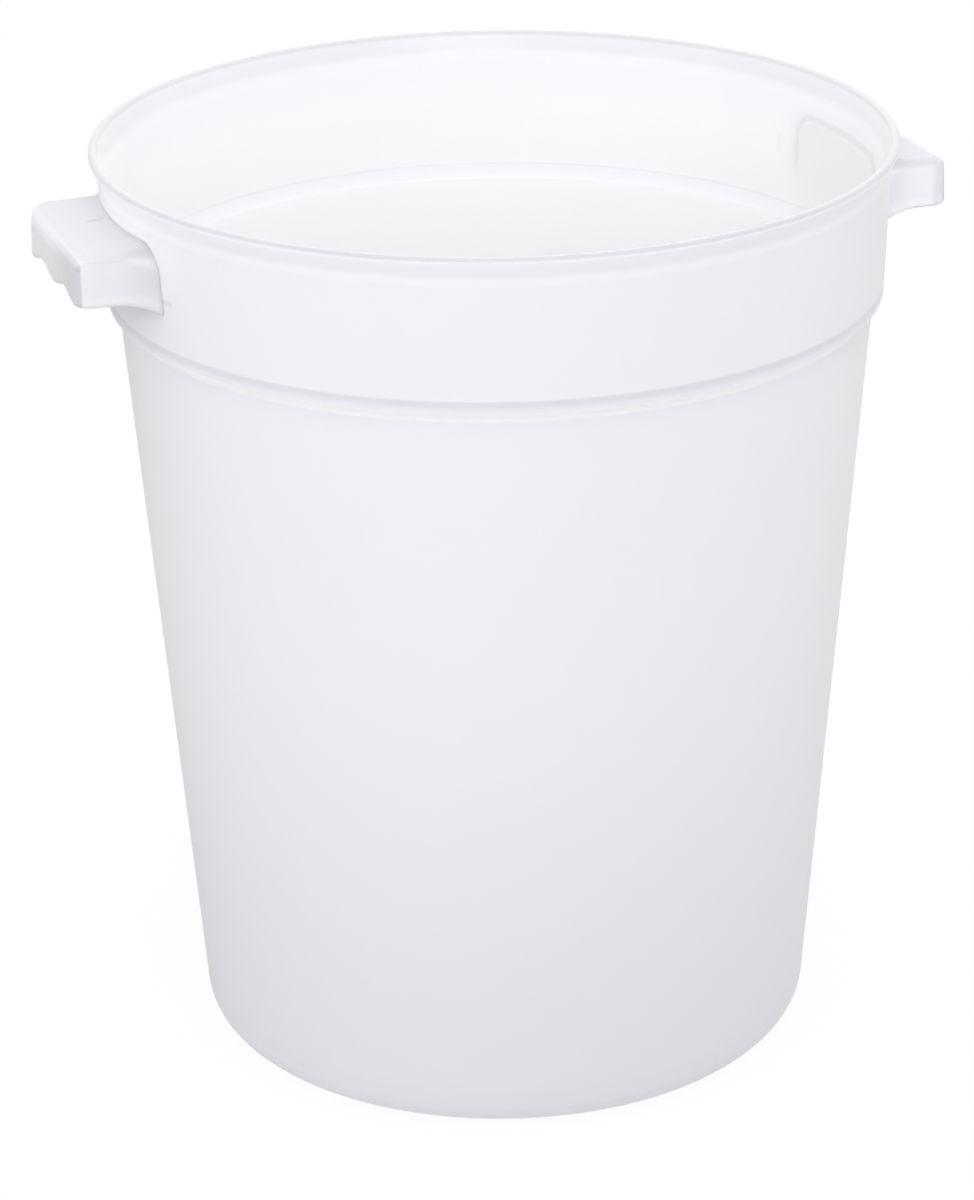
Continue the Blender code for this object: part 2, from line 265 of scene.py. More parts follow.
class FinishSettings(bpy.types.PropertyGroup):
    """Colours of the plastic, with its painted shade and its painted light (glow)."""
    tub_colour: colour("Tub colour", "The milky plastic of the tub outside", (0.888, 0.877, 0.923))
    # Painted light: the inside is the same plastic as the outside, given a lighter colour for the
    # light that falls into the tub.
    lit_inside_colour: colour("Inside colour", "The plastic inside the tub", (0.97, 0.967, 0.992))
    # Painted shade: the hoods are the same plastic as the tub, given a darker colour for the shade
    # on them.
    shaded_handle_colour: colour("Handle colour", "The plastic of the hoods", (0.85, 0.842, 0.882))
    roughness: share("Roughness", "How matte the plastic is", 0.36)
    translucency: share("Translucency", "How much of the light spreads through the plastic", 1.0)
    spread: length("Light spread", "How far light spreads inside the plastic", 0.0035)
    sheen: share("Sheen", "The soft light along the edges of the outline", 0.6)
    # Painted shade: a dark line over the shoulder, for the step inside seen darker through the
    # wall.
    shoulder_shade_line: share("Shoulder line", "How much darker the line over the shoulder is", 0.12)
    # Painted light on the step outside, to take away its own shade.
    shoulder_step_light: share("Shoulder lift", "How much lighter the step outside is", 0.06)
    # Painted shade on the step inside: a line along its edge and a darker facet.
    ledge_shade_line: share("Ledge line", "How much darker the line of the step inside is", 0.03)
    ledge_shade: share("Ledge shade", "How much darker the step inside is", 0.09)
    # Painted shade along each pocket's outline outside, for the shade in that crease.
    pocket_shade_line: share("Pocket line", "How much darker a pocket's outline is outside", 0.03)
    # Painted shade on each pocket's sides inside, for the shade of the hood's walls seen through
    # the wall.
    pocket_shade_line_inside: share("Pocket line inside", "How much darker its sides are inside", 0.12)
    # Painted shade on the lip: its outer edge and its top, against their highlight.
    rim_shade_line: share("Rim line", "How much darker the outer edge of the lip is", 0.3)
    rim_shade: share("Rim shade", "How much darker the top of the lip is", 0.16)
    # Painted shade for the small recessed moulding marks beside each pocket, outside and inside;
    # the marks are real, their darkness is painted.
    mark_shade: share("Mark shade", "How much darker the moulding marks are outside", 0.1)
    mark_shade_inside: share("Mark shade inside", "How much darker those marks are inside", 0.06)
    # Painted shade on the upper band outside, a little darker than the wall below.
    band_shade: share("Band shade", "How much darker the upper band is outside", 0.02)
    # Painted shade inside the tub near the rim, where the light into the tub is strongest.
    mouth_shade: share("Mouth shade", "How much darker the inside is near the rim", 0.19)
    # Painted shade on a hood where it meets the tub, for the shade in that crease.
    spread_shade: share("Spread shade", "How much darker a hood is where it meets the tub", 0.085)
    # Painted shade on the front corner of a lit end wall, where it turns away from the light.
    turn_shade: share("Turn shade", "How much darker a lit end wall is at its front corner", 0.2)
    # Painted shade: the wall outside gets darker towards the foot, where less light reaches it.
    foot_shade: share("Foot shade", "How much darker the wall gets towards the foot", 0.06)
    # Painted light: these glows are emission that stands in for light coming through the plastic,
    # on the step, the flare under the lip, the foot and the inside below the band.
    glow: share("Glow", "The most light that comes through the plastic", 0.3)
    step_glow: share("Step glow", "How much of that glow the step outside has", 0.65)
    flare_glow: share("Flare glow", "How much of that glow the flare under the lip has", 0.3)
    foot_glow: share("Foot glow", "How much of that glow the edge of the foot has", 1.0)
    inside_glow: share("Inside glow", "How much of that glow the inside below the band has", 0.08)
    # Painted light along the line round a hood's root, on the hood and on the tub, against the
    # shade in that crease.
    root_glow: share("Root glow", "How much of that glow the line round a hood's root has", 0.07)
    # Painted shade on a hood's flat top, where light from above falls strongest.
    top_shade: share("Top shade", "How much darker a hood's flat top is", 0.18)
    # Painted shade on a hood's rounded brow, deepest towards the -Y corner.
    brow_shade: share("Brow shade", "How much darker a hood's rounded brow is", 0.17)
    # Painted shade on a hood's skirt, deepest towards the -Y corner.
    skirt_shade: share("Skirt shade", "How much darker a hood's skirt is", 0.2)
    # Painted light on a hood's end walls, lighter lower down.
    hem_light: share("Hem lift", "How much lighter a hood's end walls get lower down", 0.09)
    # Painted shade: a dark line under a hood's brow.
    brow_shade_line: share("Brow line", "How much darker the line under a hood's brow is", 0.1)
    # Painted light (emission) along the lower edge of a hood's end walls.
    hem_glow: share("Hem glow", "How much of that glow the end walls' lower edge has", 0.3)
    # Painted light (emission) on a hood's end walls: the right hood gets far more, for the light
    # that falls on it from the right.
    left_glow: share("Left glow", "How much of that glow the left hood's end walls have", 0.05)
    right_glow: share("Right glow", "How much of that glow the right hood's end walls have", 0.43)


class StageSettings(bpy.types.PropertyGroup):
    """The studio round the container."""
    world: share("World light", "The strength of the soft light from all round", 1.0)
    floor_colour: colour("Floor colour", "The matte floor", (0.38, 0.38, 0.38))
    floor_white: share("Floor white", "How much of the floor in sight is plain white", 0.8)
    floor_glow: FloatProperty(name="Floor glow", description="How bright that is", default=1.15)
    floor_half: length("Floor half", "Half of the floor's width", 6.0)
    floor_drop: length("Floor drop", "How far it lies below the foot", 0.0002)
    lamp_size: length("Lamp size", "The width of the square lamps", 1.25)
    lens: FloatProperty(name="Lens", description="The camera's focal length", unit="CAMERA",
                        default=122.31)
    place: FloatVectorProperty(
        name="Camera place", description="Where the camera stands", size=3,
        default=(-0.5118, -1.4534, 0.8237), subtype="TRANSLATION", unit="LENGTH")
    turn: FloatVectorProperty(
        name="Camera turn", description="The camera's rotation", size=3,
        default=[math.radians(angle) for angle in (67.24, 0.779, -19.528)],
        subtype="EULER", unit="ROTATION")


GROUPS = {
    "tub_sizes": TubSizes,
    "pocket_sizes": PocketSizes,
    "hood_sizes": HoodSizes,
    "finish_settings": FinishSettings,
    "stage_settings": StageSettings,
}


def settings():
    """The values of the five groups, in the order of GROUPS."""
    return [getattr(bpy.context.scene, name) for name in GROUPS]


def named(group, keys):
    """Some of a group's values under the names that its panel shows."""
    labels = group.bl_rna.properties
    return {labels[key].name: getattr(group, key) for key in keys}


class Field:
    """A number in a node tree. Python's operators on it add Math nodes."""

    def __init__(self, maker, socket):
        self.maker = maker
        self.socket = socket

    def maths(self, operation, *others):
        return self.maker.maths(operation, self, *others)

    def __add__(self, other):
        return self.maths("ADD", other)

    def __radd__(self, other):
        return self.maker.maths("ADD", other, self)

    def __sub__(self, other):
        return self.maths("SUBTRACT", other)

    def __rsub__(self, other):
        return self.maker.maths("SUBTRACT", other, self)

    def __mul__(self, other):
        return self.maths("MULTIPLY", other)

    def __rmul__(self, other):
        return self.maker.maths("MULTIPLY", other, self)

    def __truediv__(self, other):
        return self.maths("DIVIDE", other)

    def __rtruediv__(self, other):
        return self.maker.maths("DIVIDE", other, self)

    def __neg__(self):
        return self.maker.maths("SUBTRACT", 0.0, self)

    def __abs__(self):
        return self.maths("ABSOLUTE")

    def sine(self):
        return self.maths("SINE")

    def cosine(self):
        return self.maths("COSINE")

    def root(self):
        return self.maths("SQRT")

    def least(self, other):
        return self.maths("MINIMUM", other)

    def most(self, other):
        return self.maths("MAXIMUM", other)


class Maker:
    """Adds nodes to a tree, shader or geometry."""

    def __init__(self, tree):
        tree.nodes.clear()
        self.tree = tree

    def put(self, value, socket):
        """Gives a socket a value, or a link from a Field or another socket."""
        if isinstance(value, Field):
            self.tree.links.new(value.socket, socket)
        elif isinstance(value, bpy.types.NodeSocket):
            self.tree.links.new(value, socket)
        elif value is not None:
            socket.default_value = value

    def node(self, kind, options=(), values=()):
        """A node of a type, with its settings and then the values of its sockets."""
        made = self.tree.nodes.new(kind)
        for name, value in dict(options).items():
            setattr(made, name, value)
        for name, value in dict(values).items():
            self.put(value, made.inputs[name])
        return made

    def field(self, kind, options=(), values=(), output=0):
        """One number that a node gives."""
        return Field(self, self.node(kind, options, values).outputs[output])

    def maths(self, operation, *values):
        return self.field("ShaderNodeMath", {"operation": operation}, dict(enumerate(values)))

    def parts(self, vector):
        """The three numbers of a vector."""
        split = self.node("ShaderNodeSeparateXYZ", {}, {"Vector": vector})
        return [Field(self, split.outputs[axis]) for axis in range(3)]

    def vector(self, x, y, z):
        return self.node("ShaderNodeCombineXYZ", {}, {"X": x, "Y": y, "Z": z}).outputs[0]

    def hypot(self, first, second):
        return (first * first + second * second).root()

    def smooth_step(self, value, low, high):
        """Runs from 0 at low to 1 at high, with no corner at either."""
        return self.field("ShaderNodeMapRange", {"interpolation_type": "SMOOTHSTEP"},
                          {"Value": value, "From Min": low, "From Max": high})

    def ramp(self, value, low, high):
        """Runs from 0 at low to 1 at high, and stays between them."""
        return self.field("ShaderNodeMapRange", {"clamp": True},
                          {"Value": value, "From Min": low, "From Max": high})

    def stripe(self, value, low, low_full, high_full, high):
        """1 from low_full to high_full, with soft edges out to low and high."""
        return self.smooth_step(value, low, low_full) * self.smooth_step(value, high, high_full)

    def bar(self, value, middle, width, edge):
        """1 over a width about the middle, with soft edges."""
        low, high = middle - width / 2, middle + width / 2
        return self.stripe(value, low - edge, low, high, high + edge)

    def toned(self, *shade_and_light):
        """1 made darker by a factor of each mask, or lighter by a factor less than 0."""
        tone, *others = [1.0 - mask * factor for mask, factor in shade_and_light]
        for other in others:
            tone = tone * other
        return tone

    def scaled(self, tint, factor):
        """A colour times a number."""
        return self.node("ShaderNodeVectorMath", {"operation": "SCALE"},
                         {0: tint, "Scale": factor}).outputs[0]

    def blend(self, first, second, factor):
        """Runs from the first number to the second as the factor runs from 0 to 1."""
        return (second - first) * factor + first

    def rounded_corner(self, first, second, radius):
        """The distance to two sides that meet in a corner of a radius, less than 0 inside."""
        across = first + radius
        along = second + radius
        outside = self.hypot(across.most(0.0), along.most(0.0))
        return outside + across.most(along).least(0.0) - radius

    def smooth_most(self, first, second, reach):
        """The larger of two numbers, with a soft change over from one to the other."""
        near = (reach - abs(first - second)).most(0.0) / reach
        return first.most(second) + near * near * (reach / 4.0)


def pocket_distance(maker, across, level, half_width, top, corner):
    """How far a point lies outside a pocket's outline, less than 0 inside it."""
    return maker.rounded_corner(abs(across) - half_width, level - top, corner)


def rounded(corners):
    """A line through (x, z, radius) corners with each radius drawn as an arc."""
    line = []
    last = len(corners) - 1
    for index, (x, z, radius) in enumerate(corners):
        if radius == 0 or index in (0, last):
            line.append((x, z))
            continue
        before, after = corners[index - 1], corners[index + 1]
        heading = math.atan2(z - before[1], x - before[0])
        leaving = math.atan2(after[1] - z, after[0] - x)
        turn = (leaving - heading + math.pi) % (2 * math.pi) - math.pi
        setback = radius * abs(math.tan(turn / 2))
        arm = math.copysign(radius, turn)
        centre_x = x - setback * math.cos(heading) - arm * math.sin(heading)
        centre_z = z - setback * math.sin(heading) + arm * math.cos(heading)
        for step in range(ARC_STEPS + 1):
            angle = heading + turn * step / ARC_STEPS
            line.append((centre_x + arm * math.sin(angle), centre_z - arm * math.cos(angle)))
    return line


def band_radius(tub, depth):
    """The radius of the band outside, at a depth from 0 at its top to 1 at its foot."""
    return tub.rim_radius - tub.flare_width - tub.band_taper * depth


def tub_outlines(tub):
    """The tub's profile as two lines: up the inside to the lip, and down the outside."""
    band_top = band_radius(tub, 0.0)
    band = band_radius(tub, 1.0)
    side = band - tub.shoulder_width
    foot = side - tub.wall_taper
    flare = tub.height - tub.flare_depth
    shoulder = tub.height - tub.band_depth
    ledge = shoulder + tub.ledge_lift
    ledge_foot = ledge - tub.ledge_drop
    base = tub.base_rise + tub.base_thickness
    gate = tub.base_rise + tub.gate_depth
    inner_foot = foot - tub.wall + tub.wall_taper * base / ledge_foot
    mouth = tub.rim_radius - tub.wall
    lip_middle = (mouth + tub.wall / 2, tub.height, 0.0)
    ring = foot - tub.foot_round - tub.ring_width
    inside = rounded([
        (0.0, base, 0.0),
        (inner_foot, base, tub.foot_round - tub.wall),
        (side - tub.wall, ledge_foot, tub.ledge_round),
        (band - tub.wall, ledge, tub.ledge_round),
        (band_top - tub.wall, flare, tub.flare_round),
        (mouth, tub.height, tub.lip_round),
        lip_middle,
    ])
    outside = rounded([
        lip_middle,
        (tub.rim_radius, tub.height, tub.lip_round),
        (tub.rim_radius, tub.height - tub.lip_depth, tub.lip_round),
        (band_top, flare, tub.flare_round),
        (band, shoulder, tub.shoulder_round),
        (side, shoulder - tub.shoulder_drop, tub.shoulder_fillet),
        (foot, 0.0, tub.foot_round),
        (ring, 0.0, tub.ring_round),
        (ring - tub.ring_slope, tub.base_rise, tub.ring_round),
        (tub.gate_radius, tub.base_rise, 0.0),
        (tub.gate_radius - tub.gate_depth, gate, 0.0),
        (0.0, gate, 0.0),
    ])
    return inside, outside[1:]


def tub_profile(tub, pocket):
    """The profile's points, as x, z and 1 inside or 0 outside, with its long runs cut."""
    corners = (tub.height - pocket.drop - CORNER_BELOW * pocket.corner,
               tub.height - pocket.inner_drop + CORNER_ABOVE)
    band_foot = tub.height - tub.band_depth + tub.ledge_lift
    points = []
    for inner, line in zip((1.0, 0.0), tub_outlines(tub)):
        points.append((*line[0], inner))
        for start, end in zip(line, line[1:]):
            for part in cuts(start, end, corners, band_foot):
                points.append((start[0] + (end[0] - start[0]) * part,
                               start[1] + (end[1] - start[1]) * part, inner))
            points.append((*end, inner))
    return points


def cuts(start, end, corners, band_foot):
    """The shares of a run at which it is cut, closest between the corners' two heights."""
    span = math.dist(start, end)
    on_base = start[0] < BASE_REACH and end[0] < BASE_REACH
    if on_base or abs(end[1] - start[1]) <= LONG_RISE:
        count = max(1, math.ceil(span / (BASE_STEP if on_base else SHORT_STEP)))
        return [index / count for index in range(1, count)]
    low, high = corners
    shares, travelled = [], 0.0
    while True:
        level = start[1] + (end[1] - start[1]) * travelled / span
        if low < level < high:
            travelled += CORNER_STEP
        elif level > band_foot:
            travelled += BAND_STEP
        else:
            travelled += WALL_STEP
        if travelled > span * WALL_END:
            return shares
        shares.append(travelled / span)


def turn_marks(tub, pocket):
    """The angles of the tub's columns, closer together at the pockets' sides."""
    inner = math.asin((pocket.half_width - INNER_CORNERS * pocket.corner) / tub.rim_radius)
    outer = math.asin((pocket.half_width + OUTER_MARGIN) / (tub.rim_radius - OUTER_INSET))
    quarter, angle = [], 0.0
    while angle < math.pi / 2 - LAST_TURN:
        quarter.append(angle)
        angle += FINE_TURN if inner < angle < outer else WIDE_TURN
    quarter.append(math.pi / 2)
    half = quarter + [math.pi - mark for mark in reversed(quarter[:-1])]
    return half + [math.pi + mark for mark in half[1:]]


def node_group(name, inputs):
    """A geometry node group with a named socket for each input, and what fills its nodes."""
    tree = bpy.data.node_groups.new(name, "GeometryNodeTree")
    tree.interface.new_socket("Geometry", in_out="OUTPUT", socket_type="NodeSocketGeometry")
    tree.interface.new_socket("Geometry", in_out="INPUT", socket_type="NodeSocketGeometry")
    kinds = {float: "Float", int: "Int", bpy.types.Object: "Object", bpy.types.Material: "Material"}
    for label, value in inputs.items():
        kind = kinds[type(value)]
        socket = tree.interface.new_socket(label, in_out="INPUT", socket_type="NodeSocket" + kind)
        if kind in ("Float", "Int"):
            socket.default_value = value
    maker = Maker(tree)
    entry = maker.node("NodeGroupInput")
    given = {socket.name: Field(maker, socket) for socket in entry.outputs if socket.name}
    return tree, maker, given


def close_group(maker, geometry, material):
    """Ends a group: real geometry with its material goes out."""
    real = maker.node("GeometryNodeRealizeInstances", {}, {"Geometry": geometry})
    painted = maker.node("GeometryNodeSetMaterial", {}, {
        "Geometry": real.outputs[0], "Material": material})
    maker.node("NodeGroupOutput", {}, {"Geometry": painted.outputs[0]})


def new_object(name, content):
    """An object in the scene that holds a mesh, a lamp or a camera."""
    item = bpy.data.objects.new(name, content)
    bpy.context.scene.collection.objects.link(item)
    return item


def made_piece(name, mesh, tree, inputs, material):
    """Runs a node group on a mesh and keeps the result as a plain, closed, smooth mesh."""
    item = new_object(name, mesh)
    modifier = item.modifiers.new("Shape", "NODES")
    modifier.node_group = tree
    for socket in tree.interface.items_tree:
        if socket.in_out == "INPUT" and socket.name in inputs:
            modifier[socket.identifier] = inputs[socket.name]
    graph = bpy.context.evaluated_depsgraph_get()
    result = bpy.data.meshes.new_from_object(item.evaluated_get(graph))
    item.modifiers.clear()
    shape = bmesh.new()
    shape.from_mesh(result)
    bmesh.ops.remove_doubles(shape, verts=shape.verts, dist=DOUBLES_DISTANCE)
    bmesh.ops.recalc_face_normals(shape, faces=shape.faces)
    open_edges = sum(1 for edge in shape.edges if len(edge.link_faces) != 2)
    shape.to_mesh(result)
    shape.free()
    if open_edges or not result.polygons:
        raise RuntimeError(f"{name} isn't closed: {open_edges} open edges")
    result.materials.clear()
    result.materials.append(material)
    result.shade_smooth()
    item.data = result
    return item


def line_mesh(name, points):
    """A mesh of points joined one after the other."""
    mesh = bpy.data.meshes.new(name)
    mesh.from_pydata(points, [(index, index + 1) for index in range(len(points) - 1)], [])
    return mesh


def tub_group(inputs):
    """Turns the profile it is given, and presses the two finger pockets into the wall."""
    tree, maker, given = node_group("turned_tub", inputs)
    last_row = given["Rows"] - 1.0
    grid = maker.node("GeometryNodeMeshGrid", {}, {
        "Size X": given["Columns"], "Size Y": last_row,
        "Vertices X": given["Columns"] + 1.0, "Vertices Y": given["Rows"]})
    place = maker.node("GeometryNodeInputPosition").outputs[0]
    here_x, here_y, _ = maker.parts(place)

    def sampled(geometry, index):
        """The three numbers of a point's place."""
        point = maker.node("GeometryNodeSampleIndex", {"data_type": "FLOAT_VECTOR"}, {
            "Geometry": geometry, "Value": place, "Index": index.maths("ROUND")})
        return maker.parts(point.outputs[0])

    marks = maker.node("GeometryNodeObjectInfo", {}, {"Object": given["Turn marks"]})
    angle, _, _ = sampled(marks.outputs["Geometry"], here_x + given["Columns"] / 2.0)
    radius, inner, level = sampled(given["Geometry"], here_y + last_row / 2.0)

    across = radius * angle.sine()
    half_width = maker.blend(given["Half width outside"], given["Half width inside"], inner)
    top = given["Height"] - maker.blend(given["Drop"], given["Drop inside"], inner)
    floor = given["Pocket floor"] - inner * given["Wall"]
    outline = pocket_distance(maker, across, level, half_width, top, given["Corner rounding"])
    depth = maker.smooth_step(-outline, 0.0, given["Side width"])
    pressed = maker.blend(radius, radius.least(floor), depth)
    turned = maker.vector(pressed * angle.cosine(), pressed * angle.sine(), level)
    marked = maker.node(
        "GeometryNodeStoreNamedAttribute", {"data_type": "FLOAT", "domain": "POINT"},
        {"Geometry": grid.outputs["Mesh"], "Name": "inside", "Value": inner})
    shell = maker.node("GeometryNodeSetPosition", {}, {
        "Geometry": marked.outputs[0], "Position": turned})
    closed = maker.node("GeometryNodeMergeByDistance", {}, {
        "Geometry": shell.outputs[0], "Distance": given["Merge distance"]})
    close_group(maker, closed.outputs[0], given["Material"])
    return tree


def hood_group(inputs):
    """Moulds the hood as a distance field, so that every edge has its own soft rounding."""
    tree, maker, given = node_group("moulded_hood", inputs)
    place = maker.node("GeometryNodeInputPosition").outputs[0]
    here_x, across, level = maker.parts(place)
    out = here_x * given["Side"]
    beside = abs(across)
    radius = maker.hypot(out, across)

    near = (given["Spread start"] - out) / (given["Spread start"] - given["Spread end"])
    near = near.most(0.0).least(SPREAD_LIMIT)
    flare = near * near
    close = 1.0 - (radius - given["Tub radius"]) / given["Fillet"]
    close = close.most(0.0).least(FILLET_LIMIT)
    fillet = close * close * given["Fillet"] * FILLET_SHARE
    half_width = given["Half width"] + given["Spread"] * flare + fillet
    top = given["Top"] + given["Cove"] * flare + fillet
    corner = maker.blend(given["Edge rounding"], given["Corner rounding"], flare.least(1.0))
    lean = given["Lean"] * maker.ramp(level, given["Bottom"], given["Top"])
    front = out - given["Reach"] + lean
    sides = maker.rounded_corner(beside - half_width, level - top, corner)
    outer = maker.rounded_corner(sides, front, given["Front rounding"])

    wall = given["Skirt thickness"]
    hollow_sides = maker.rounded_corner(
        beside - given["Half width"] + wall, level - given["Top"] + given["Roof thickness"],
        given["Edge rounding"])
    hollow = maker.rounded_corner(hollow_sides, front + wall, given["Front rounding"] - wall)

    wave = (across * math.pi / given["Arch pitch"]).sine()
    skirt = maker.smooth_step(out, given["Reach"] - wall * SKIRT_WALLS, given["Reach"] - wall)
    arches = maker.smooth_step(beside, given["Arch pitch"], given["Arch pitch"] - ARCH_EDGE)
    lower = (given["Bottom"] + given["Arch rise"] * wave * wave * skirt * arches
             - given["Side drop"] * flare.least(DROP_LIMIT))

    slot_along = (abs(out - given["Slot place"]) - given["Slot straight"]).most(0.0)
    slot_sides = maker.hypot(slot_along, across - given["Slot side"]) - given["Slot rounding"]
    slot = slot_sides.most(given["Top"] - given["Slot depth"] - level)

    body = maker.smooth_most(outer, -hollow, given["Hollow blend"])
    body = maker.smooth_most(body, lower - level, given["Hem blend"])
    body = maker.smooth_most(body, -slot, given["Slot blend"])
    body = body.most(given["Seat radius"] - radius)

    room = given["Half width"] + ROOM_BESIDE
    low = maker.vector(given["Low X"], -room, given["Bottom"] - ROOM_BELOW)
    high = maker.vector(given["High X"], room, given["Top"] + ROOM_ABOVE)
    block = maker.node("GeometryNodeVolumeCube", {}, {
        "Density": -body, "Background": BACKGROUND, "Min": low, "Max": high,
        **{"Resolution " + axis: given["Cells " + axis] for axis in "XYZ"}})
    skin = maker.node("GeometryNodeVolumeToMesh", {"resolution_mode": "GRID"}, {
        "Volume": block.outputs[0], "Threshold": 0.0, "Adaptivity": 0.0})
    close_group(maker, skin.outputs[0], given["Material"])
    return tree


def plastic(name, finish, tint, shade):
    """Milky translucent plastic: shade gives its base colour, with painted shade, and its painted
    glow from its place.
    """
    material = bpy.data.materials.new(name)
    material.use_nodes = True
    maker = Maker(material.node_tree)
    place = maker.node("ShaderNodeTexCoord").outputs["Object"]
    cloud = maker.field("ShaderNodeTexNoise", {}, {"Vector": place, **CLOUD}) - 0.5
    grain = maker.field("ShaderNodeTexNoise", {}, {"Vector": place, **GRAIN})
    bump = maker.node("ShaderNodeBump", {}, {"Height": grain, **GRAIN_BUMP})
    base, glow = shade(maker, place, 1.0 + cloud * CLOUD_TONE)
    shader = maker.node("ShaderNodeBsdfPrincipled", {"subsurface_method": "RANDOM_WALK"}, {
        "Base Color": base,
        "Roughness": finish.roughness + cloud * CLOUD_ROUGHNESS,
        "Normal": bump.outputs[0],
        "IOR": 1.49,
        "Subsurface Weight": finish.translucency,
        "Subsurface Radius": (1.0, 1.0, 1.0),
        "Subsurface Scale": finish.spread,
        "Sheen Weight": finish.sheen,
        "Sheen Roughness": 0.5,
        # Painted light: emission glow that stands in for light coming through the plastic.
        "Emission Color": glow,
        "Emission Strength": finish.glow,
    })
    maker.node("ShaderNodeOutputMaterial", {}, {"Surface": shader.outputs[0]})
    material.diffuse_color = (*tint, 1.0)
    return material


def tub_shade(tub, pocket, finish):
    """The tub's colour with its painted shade and painted light (glow): the soft painted lines and
    shades of its steps, its lip, its pockets and its marks.
    """

    def shade(maker, place, tone):
        inside = Field(maker, maker.node(
            "ShaderNodeAttribute", {"attribute_name": "inside"}).outputs["Fac"])
        _, across, level = maker.parts(place)
        beside = abs(across)
        over_rim = level - tub.height
        over_shoulder = over_rim + tub.band_depth

        def outline(half_width, drop):
            return pocket_distance(maker, across, over_rim, half_width, -drop, pocket.corner)

        def mark(middle, drop, wide, high):
            return (maker.bar(beside, middle, wide, pocket.mark_width)
                    * maker.bar(over_rim, -drop, high, pocket.mark_width))

        outer = outline(pocket.half_width, pocket.drop)
        inner = outline(pocket.inner_half_width, pocket.inner_drop)
        outer_mark = mark(pocket.mark_place, pocket.mark_drop,
                          pocket.mark_length, pocket.mark_width)
        inner_mark = mark(pocket.inner_mark_place, pocket.inner_mark_drop,
                          pocket.mark_width, pocket.mark_length)
        step = maker.stripe(over_shoulder, *SHOULDER_STEP)
        pocket_shade_line = (maker.stripe(outer, *POCKET_LINE)
                       * maker.smooth_step(over_shoulder, *POCKET_FADE))
        pocket_sides = (maker.stripe(inner, *POCKET_SIDES)
                        * maker.smooth_step(over_shoulder, *POCKET_FADE_INSIDE))
        mouth = maker.blend(maker.smooth_step(over_rim, *MOUTH_FAR),
                            maker.smooth_step(over_rim, *MOUTH_NEAR), MOUTH_SHARE)
        # Painted shade outside: lines over the shoulder and round the pockets, the band, the foot,
        # the lip edge and the marks; painted light on the step.
        outer_painted_shading = maker.toned(
            (maker.stripe(over_shoulder, *SHOULDER_LINE), finish.shoulder_shade_line),
            (pocket_shade_line, finish.pocket_shade_line),
            (maker.smooth_step(over_shoulder, *BAND), finish.band_shade),
            (maker.smooth_step(level, *LOW_WALL), finish.foot_shade),
            (step, -finish.shoulder_step_light),
            (maker.smooth_step(over_rim, *LIP_EDGE), finish.rim_shade_line),
            (outer_mark, finish.mark_shade))
        # Painted shade inside: the step's line and facet, the pocket sides, the mouth, the lip top
        # and the marks.
        inner_painted_shading = maker.toned(
            (maker.stripe(over_shoulder, *LEDGE_LINE), finish.ledge_shade_line),
            (maker.stripe(over_shoulder, *LEDGE_FACET), finish.ledge_shade),
            (pocket_sides, finish.pocket_shade_line_inside),
            (mouth, finish.mouth_shade),
            (maker.smooth_step(over_rim, *LIP_TOP), finish.rim_shade),
            (inner_mark, finish.mark_shade_inside))

        # Painted light: emission glow on the step, the flare, round the pockets' roots, at the
        # foot's edge and inside below the ledge.
        foot = maker.ramp(level, *FOOT_EDGE)
        flare = maker.stripe(over_rim, *FLARE)
        root = maker.stripe(outer, *POCKET_ROOT) * maker.smooth_step(over_shoulder, *ROOT_FADE)
        outer_glow = (step * finish.step_glow).most(flare * finish.flare_glow)
        outer_glow = outer_glow.most(root * finish.root_glow).most(foot * foot * finish.foot_glow)
        inner_glow = maker.smooth_step(over_shoulder, *BELOW_LEDGE) * finish.inside_glow
        # The inside takes the lighter, painted-light copy of the plastic's colour.
        mixed = maker.node("ShaderNodeMix", {"data_type": "RGBA"}, {
            0: inside, 6: (*finish.tub_colour, 1.0), 7: (*finish.lit_inside_colour, 1.0)}).outputs[2]
        return (maker.scaled(mixed, maker.blend(outer_painted_shading, inner_painted_shading, inside) * tone),
                maker.scaled(mixed, maker.blend(outer_glow, inner_glow, inside)))

    return shade


